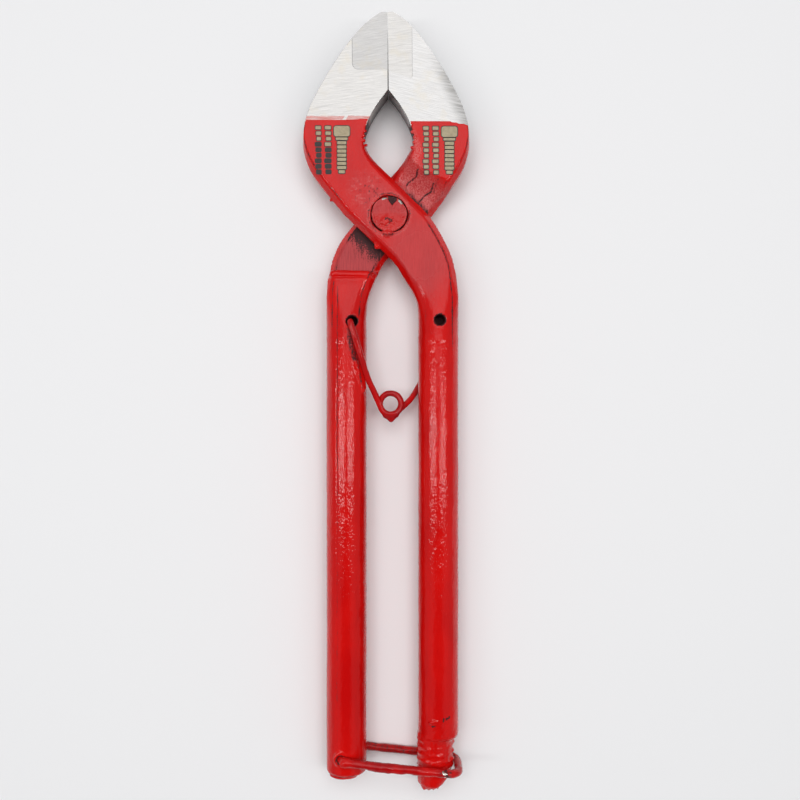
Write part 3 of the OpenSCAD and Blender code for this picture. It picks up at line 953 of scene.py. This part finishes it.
def rivet():
    """A hammered front head with a notch for the paint tab, a shank and a flush rear head."""
    v = Volume((-9, -10, -1), (9, 9, 14), 0.2)
    x, y, z = v.x, v.y, v.z
    r = np.hypot(x, y)
    mid, half = (RIVET_TOP + HEAD_SEAT_Z) / 2, (RIVET_TOP - HEAD_SEAT_Z) / 2
    head = rounded(r - RIVET_R - PAINT, np.abs(z - mid) - half, 0.5)
    shank = np.maximum(r - SHANK_R, np.abs(z - 6) - 5.5)
    rear = rounded(r - 6.85, np.abs(z - 0.95) - 0.75, 0.3)
    v.d = np.minimum(np.minimum(head, shank), rear).astype(np.float32)
    v.blob((-1.2, -2.6, 12.7), (2.4, 1.7, 0.6), 0.5)
    v.bead((-2.5, -2.0, 13.0), (0.4, -3.1, 13.05), 0.3, 0.35)
    v.bead((-1.9, -4.2, 12.95), (1.2, -1.6, 13.05), 0.27, 0.35)
    v.bead((-0.4, -1.3, 13.0), (-1.3, -4.4, 13.0), 0.25, 0.3)
    notch = np.maximum(np.abs(x - 1.3) - (y - 3.2) * 0.74, 12.35 - z)
    v.d = cut(v.d, np.maximum(notch, 3.2 - y), 0.2).astype(np.float32)
    v.swell(lambda p: (0.20 * noise(p, 1.8, 4) + 0.12 * noise(p, 0.9, 9)) * (p[:, 2] > 11))
    obj = v.mesh("rivet_head")
    p = points_of(obj)
    px, py, pz = p.T
    radius = np.hypot(px, py)
    on_top = pz > 11.5
    rim = ramp(radius, 6.1, 6.6) * on_top
    angle = np.degrees(np.arctan2(py, px))
    glint = ramp(np.abs(angle - 78), 52, 34) * ramp(radius, 5.8, 6.1)
    glint = glint * ramp(noise(p, 1.1, 3), -0.5, 0.1)
    # Painted shade in the notch and on the head's side under its rim
    notch_shade = ramp(np.abs(px - 1.3), 1.9, 1.6) * ramp(py, 3.2, 3.6) * ramp(pz, 12.85, 12.6)
    wrinkled = ramp(np.hypot(px + 0.5, py + 3.0), 2.6, 1.2) * ramp(noise(p, 0.75, 3), 0.0, 0.5)
    shade_under_head = ramp(pz, 12.2, 11.9) * (pz > 9)
    paint_mask(obj, "dirt_and_shade", strongest(notch_shade, 0.7 * wrinkled * on_top, shade_under_head))
    paint_mask(obj, "bare", glint * (1 - notch_shade))
    paint_mask(obj, "dull_and_sheen", 0.55 * ramp(py, -2, 2) * on_top)
    paint_mask(obj, "rub", 0.5 * rim)
    return obj


# ---------------------------------------------------------------- wires


def bent(points, radius, steps=8):
    """A route through the points with its inner corners rounded."""
    p = [np.array(q, float) for q in points]
    out = [p[0]]
    for a, b, c in zip(p[:-2], p[1:-1], p[2:]):
        r_in = min(radius, 0.45 * np.linalg.norm(b - a), 0.45 * np.linalg.norm(c - b))
        start = b + (a - b) / np.linalg.norm(a - b) * r_in
        end = b + (c - b) / np.linalg.norm(c - b) * r_in
        for k in range(steps + 1):
            t = k / steps
            out.append((1 - t) ** 2 * start + 2 * t * (1 - t) * b + t**2 * end)
    return out + [p[-1]]


BAIL_R = 1.6
# How far the loop reaches from its pin, and how many degrees it hangs
BAIL_REACH = 46.7
BAIL_TILT = 6.2
# Sagging paint on the front leg: start and end in shares of the leg, drop and radius
BAIL_SAGS = [(0.25, 0.52, 0.75, 1.25), (0.30, 0.40, 1.25, 0.8), (0.62, 0.74, 0.4, 1.2)]


def bail():
    """The closed wire loop, with sagging paint and chips where it rubs."""
    low, high = corners("bail")
    top_z, low_z = high[2] - 1.16 * BAIL_R, low[2] + 1.16 * BAIL_R
    tilt = math.radians(BAIL_TILT)
    far = np.array((BAIL_REACH * math.cos(tilt), -BAIL_REACH * math.sin(tilt)))
    near = np.array(BAIL_PIN)
    out = near + far
    mid = [(*near, z) for z in (MID_Z, top_z)]
    loop = mid + [(*out, top_z), (*out, low_z), (*near, low_z), (*near, MID_Z)]
    route = bent(loop, 6.5)
    v = Volume(low - 2, high + 2, 0.3)
    v.wire(route, BAIL_R)
    ahead = far / np.linalg.norm(far)
    for start, end, drop, r in BAIL_SAGS:
        a, b = near + far * start, near + far * end
        v.bead((a[0], a[1] - drop, top_z - 0.2), (b[0], b[1] - drop, top_z - 0.2), r, 1.0)
    v.blob((*(near + ahead * 2.2), top_z + 0.2), (2.6, 1.9, 1.7), 0.8)
    v.swell(lambda p: 0.13 * noise(p, (2.2, 1.4, 2.2), 2) + 0.06 * noise(p, 0.9, 5))
    obj = v.mesh("bail_wire")
    p = points_of(obj)
    bend = np.linalg.norm(p[:, :2] - (out - ahead * 5.5), axis=1)
    chips = ramp(bend + 2.0 * noise(p, 0.9, 8), 1.1, 0.5) * (p[:, 2] > top_z + 0.6)
    paint_mask(obj, "bare", chips)
    scuffs = ramp(bend + 2.2 * noise(p, 0.8, 4), 2.0, 1.0) * (p[:, 2] > top_z + 0.3)
    # Painted shade: the loop's lower, rear leg is darkened
    shaded = 0.33 * ramp(p[:, 2], 6, 2)
    paint_mask(obj, "dirt_and_shade", np.maximum(shaded, 0.7 * scuffs * (1 - chips)))
    paint_mask(obj, "dull_and_sheen", np.zeros(len(p)))
    paint_mask(obj, "rub", np.zeros(len(p)))
    return obj


COIL = (0.5, -74.5)
COIL_R = 4.2
SPRING_R = 1.2


def spring():
    """One wire: a hook in each handle's hole, two bowed legs and the coil between them."""
    z_front, z_rear = MID_Z + 1.4, MID_Z - 1.4

    def coil_point(turn, z):
        a = math.radians(turn)
        return (COIL[0] + COIL_R * math.cos(a), COIL[1] + COIL_R * math.sin(a), z)

    hook_front = [(-15.2, -42.3, 10), (-15.2, -42.3, 15.4), (-13.2, -48.6, 15.6), (-10.9, -56.2, 14.2)]
    hook_rear = [(20.3, -41.6, 2), (20.3, -41.6, -3.2), (17.6, -53, -3.6), (12.4, -66.6, -2.4)]
    down = spline([hook_front[-1], (-8.6, -64, 11.2), (-5.6, -70.8, 8.6), coil_point(208, z_front)], 6)
    up = spline([coil_point(-40, z_rear), (8.6, -72.6, 1.6), hook_rear[-1]], 6)
    turns = [
        coil_point(208 + k * 4, z_front - (z_front - z_rear) * k / 118) for k in range(1, 118)
    ]
    hook_a = bent(hook_front[:3], 1.6, 5) + hook_front[3:]
    hook_b = bent(hook_rear[:3], 1.6, 5) + hook_rear[3:]
    route = [*hook_a, *down[1:], *turns, *up, *hook_b[::-1][1:]]
    (low_a, high_a), (low_b, high_b) = corners("spring_front_arm"), corners("spring_rear_arm")
    v = Volume(np.minimum(low_a, low_b) - 2, np.maximum(high_a, high_b) + 2, 0.25)
    v.wire(route, SPRING_R)
    v.bead((COIL[0] - 2.2, COIL[1] - 4.9, 6.6), (COIL[0] + 0.1, COIL[1] - 6.4, 6.2), 0.75, 1.3)
    v.bead((COIL[0] + 2.4, COIL[1] - 4.8, 6.2), (COIL[0] + 0.1, COIL[1] - 6.4, 6.2), 0.7, 1.3)
    v.swell(lambda p: 0.07 * noise(p, 1.6, 6) + 0.04 * noise(p, 0.8, 2))
    obj = v.mesh("spring_wire")
    p = points_of(obj)
    # Painted shade: the rear leg, low down behind the right handle, is darkened
    shade_behind_handle = ramp(p[:, 0], 8, 13) * ramp(p[:, 2], 4, 1)
    paint_mask(obj, "dirt_and_shade", 0.45 * shade_behind_handle * ramp(noise(p, 1.5, 2), -0.2, 0.6))
    paint_mask(obj, "dull_and_sheen", 0.5 * shade_behind_handle)
    for name in ("rub", "bare"):
        paint_mask(obj, name, np.zeros(len(p)))
    return obj


# ---------------------------------------------------------------- labels


def slab(made, outline, low_z, high_z, index):
    """Adds a thin flat shape to a bmesh, with a material index."""
    low = [made.verts.new((x * MM, y * MM, low_z * MM)) for x, y in outline]
    high = [made.verts.new((x * MM, y * MM, high_z * MM)) for x, y in outline]
    faces = [made.faces.new(low[::-1]), made.faces.new(high)]
    for i in range(len(low)):
        k = (i + 1) % len(low)
        faces.append(made.faces.new((low[i], low[k], high[k], high[i])))
    for face in faces:
        face.material_index = index


def box_outline(x0, y0, x1, y1, r, steps=4):
    """A rounded rectangle, anticlockwise."""
    r = min(r, (x1 - x0) / 2.01, (y1 - y0) / 2.01)
    out = []
    centres = ((x1 - r, y1 - r, 0), (x0 + r, y1 - r, 90), (x0 + r, y0 + r, 180), (x1 - r, y0 + r, 270))
    for cx, cy, a0 in centres:
        for k in range(steps + 1):
            a = math.radians(a0 + 90 * k / steps)
            out.append((cx + r * math.cos(a), cy + r * math.sin(a)))
    return out


def emblem(name, node, worn):
    """A plain bolt pictogram and two columns of bars, khaki with black borders."""
    low, high = corners(node)
    (x0, y0), (x1, y1) = low[:2], high[:2]
    made = bmesh.new()
    base_z = PLATE_TOP + PAINT
    border = 0.32

    def shape(ax, ay, bx, by, r, index):
        """A khaki shape with a black border, or an all black one at index 0."""
        frame_outline = box_outline(ax - border, ay - border, bx + border, by + border, r + border)
        slab(made, frame_outline, base_z - 0.2, base_z + 0.05, 0)
        if index:
            slab(made, box_outline(ax, ay, bx, by, r), base_z - 0.2, base_z + 0.09, index)

    # The bolt: a wide head, a collar and a threaded shank
    cx = x1 - 3.6
    shape(cx - 3.1, y1 - 4.6, cx + 3.1, y1 - 0.5, 0.9, 1)
    shape(cx - 2.3, y1 - 6.0, cx + 2.3, y1 - 5.0, 0.3, 1)
    pitch = 1.62
    for k in range(8):
        top = y1 - 6.5 - k * pitch
        half = 1.75 if k < 7 else 1.2
        shape(cx - half, top - 1.25, cx + half, top, 0.35, 1)
    # Two columns of bars
    for column, (left, right) in enumerate(((x0 + 4.3, x0 + 6.6), (x0 + 0.6, x0 + 2.7))):
        count = 9
        step = (y1 - y0 - 1) / count
        for k in range(count):
            top = y1 - 0.5 - k * step
            inset = 0.5 * ((k * 7 + column * 3) % 3) / 2
            index = 0 if worn and k > 3 - column else 1
            shape(left + inset, top - step * 0.62, right, top, 0.25, index)
    return built(name, made)


def ink(name, colour, dark):
    """Printing ink, darker and duller where it has worn."""
    s = Shader(name)
    wear = s.ramp(s.noise(0.9, 4, 0.7), 0.35, 0.7)
    s.set(Base_Color=s.mix(wear, colour, dark), Roughness=s.blend(wear, 0.38, 0.55))
    s.set(Normal=s.bump(s.noise(0.5, 3), 0.02, 0.4))
    return s


# ---------------------------------------------------------------- assembly

lever_paint = dip_paint("dip_paint")
wire_paint = dip_paint("wire_paint", (0.56, 0.005, 0.005, 1), (0.34, 0.003, 0.005, 1), 0.13)
rivet_paint = dip_paint("rivet_paint", (0.56, 0.014, 0.012, 1), (0.44, 0.010, 0.010, 1), 0.16)
left_steel = brushed_steel("jaw_steel_left", STEEL, 6, film=True)
right_steel = brushed_steel("jaw_steel_right", (0.70, 0.69, 0.675, 1), -14)
left_blade_steel = brushed_steel("blade_steel_left", (0.57, 0.56, 0.545, 1), 9)
right_blade_steel = brushed_steel("blade_steel_right", (0.66, 0.645, 0.62, 1), 4)

front = front_lever()
lever_paint.on(front)
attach(front, "front_lever")
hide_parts("front_lever")

rear = rear_lever()
lever_paint.on(rear)
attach(rear, "rear_lever")
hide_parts("rear_lever")

left_jaw = bare_jaw("left_jaw_steel", FRONT, *LEFT_POCKET)
dress_jaw(left_jaw, FRONT, left_steel)
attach(left_jaw, "front_lever")

right_jaw = bare_jaw("right_jaw_steel", REAR, *RIGHT_POCKET)
dress_jaw(right_jaw, REAR, right_steel)
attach(right_jaw, "rear_lever")

for node, steel in (("front_blade", left_blade_steel), ("rear_blade", right_blade_steel)):
    steel.on(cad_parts[node])

head = rivet()
rivet_paint.on(head)
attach(head, "rear_lever")
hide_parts("pivot_rivet")

loop = bail()
wire_paint.on(loop)
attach(loop, "bail")
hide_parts("bail")

coil = spring()
wire_paint.on(coil)
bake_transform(coil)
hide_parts("spring_front_arm", "spring_rear_arm")

khaki = ink("khaki_ink", (0.42, 0.35, 0.22, 1), (0.33, 0.27, 0.17, 1))
black = ink("black_ink", (0.018, 0.017, 0.016, 1), (0.04, 0.03, 0.03, 1))
for name, node, body, worn in (
    ("left_emblem", "front_label", "front_lever", True),
    ("right_emblem", "rear_label", "rear_lever", False),
):
    printed = emblem(name, node, worn)
    printed.data.materials.append(black.material)
    printed.data.materials.append(khaki.material)
    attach(printed, body)
    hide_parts(node)


# ---------------------------------------------------------------- floor, light and camera


def floor():
    """A wide sheet of pale paper under the tool."""
    made = bmesh.new()
    half = 3.0
    z = cad_low.z
    corners_at = ((-half, -half), (half, -half), (half, half), (-half, half))
    made.faces.new([made.verts.new((x, y, z)) for x, y in corners_at])
    obj = built("floor", made)
    s = Shader("floor_paper")
    s.set(Base_Color=(0.86, 0.86, 0.865, 1), Roughness=0.9, Specular_IOR_Level=0.1)
    s.on(obj)


def area_light(name, place, target, size, power):
    """A softbox at a place, aimed at a target; sizes in metres, power in watts."""
    data = bpy.data.lights.new(name, "AREA")
    data.shape = "RECTANGLE"
    data.size, data.size_y = size
    data.energy = power
    obj = placed(name, data)
    obj.location = place
    obj.rotation_euler = (Vector(target) - Vector(place)).to_track_quat("-Z", "Y").to_euler()
    return obj


# Degrees from straight up to the bright patch and to the dark one
BRIGHT_LEAN = 20
DARK_LEAN = -24


def studio_world(even, bright, dark):
    """A pale room with a brighter patch above the jaws and a dark one above the handles."""
    world = bpy.data.worlds.new("studio")
    bpy.context.scene.world = world
    world.use_nodes = True
    tree = world.node_tree
    place = tree.nodes.new("ShaderNodeTexCoord").outputs["Generated"]
    strength = even
    for lean, wide, narrow, level in ((BRIGHT_LEAN, 30, 14, bright), (DARK_LEAN, 34, 18, dark)):
        toward = Vector((0, math.sin(math.radians(lean)), math.cos(math.radians(lean))))
        dot = tree.nodes.new("ShaderNodeVectorMath")
        dot.operation = "DOT_PRODUCT"
        dot.inputs[1].default_value = toward
        tree.links.new(place, dot.inputs[0])
        near = tree.nodes.new("ShaderNodeMapRange")
        near.interpolation_type = "SMOOTHSTEP"
        near.inputs["From Min"].default_value = math.cos(math.radians(wide))
        near.inputs["From Max"].default_value = math.cos(math.radians(narrow))
        tree.links.new(dot.outputs["Value"], near.inputs["Value"])
        mix = tree.nodes.new("ShaderNodeMix")
        tree.links.new(near.outputs["Result"], mix.inputs[0])
        if isinstance(strength, bpy.types.NodeSocket):
            tree.links.new(strength, mix.inputs[2])
        else:
            mix.inputs[2].default_value = strength
        mix.inputs[3].default_value = level
        strength = mix.outputs[0]
    background = tree.nodes["Background"]
    background.inputs["Color"].default_value = (0.985, 0.985, 1.0, 1)
    tree.links.new(strength, background.inputs["Strength"])


# The camera's place in millimetres and its focal length
CAMERA_AT = (4.24, -73.0, 377)
FOCAL_LENGTH = 41.8

floor()
studio_world(0.30, 1.35, 0.02)
key = area_light("key_softbox", (0.0, 0.16, 1.08), (0, 0.0, 0), (0.8, 0.9), 5.6)
key.visible_glossy = False
area_light("left_strip", (-0.54, -0.14, 0.95), (0, -0.14, 0), (0.05, 0.7), 1.9)
area_light("right_strip", (0.46, -0.14, 0.98), (0, -0.14, 0), (0.05, 0.7), 1.6)

lens = bpy.data.cameras.new("camera")
lens.lens = FOCAL_LENGTH
lens.clip_start, lens.clip_end = 0.01, 10
camera = placed("camera", lens)
camera.location = tuple(c * MM for c in CAMERA_AT)
bpy.context.scene.camera = camera
bpy.context.scene.view_settings.view_transform = "Standard"
